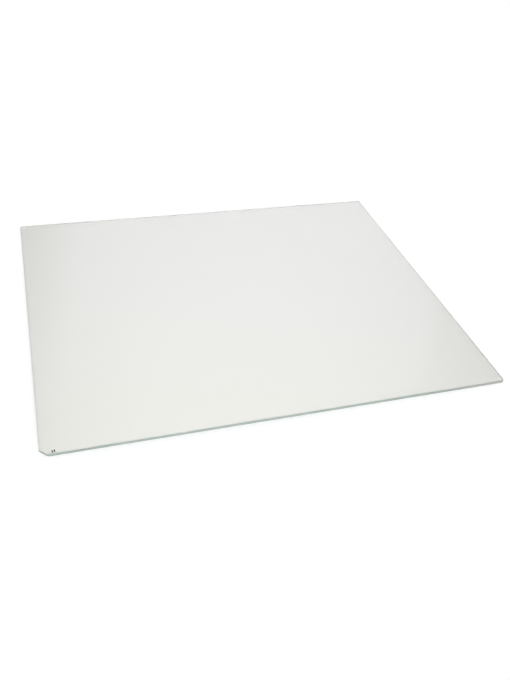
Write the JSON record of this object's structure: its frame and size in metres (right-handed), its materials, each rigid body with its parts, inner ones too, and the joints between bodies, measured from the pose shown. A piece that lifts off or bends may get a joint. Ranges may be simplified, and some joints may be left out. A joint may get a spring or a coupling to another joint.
{
  "type": "oven door glass",
  "caption": "Flat rectangular pane of toughened glass for an oven door, with a ground arrissed edge and one clipped corner.",
  "frame": {"origin": "middle of the lower face, on the surface that the pane lies on", "axes": "+X along the pane's width, +Y along its height in the closed door, +Z through the glass towards the face that carries the mark; the clipped corner is at -X -Y"},
  "size_m": [0.52, 0.43, 0.004],
  "materials": {
    "glass": "polished faces, ground edge"
  },
  "bodies": {
    "root": {"glass_pane": "glass"}
  },
  "joints": []
}
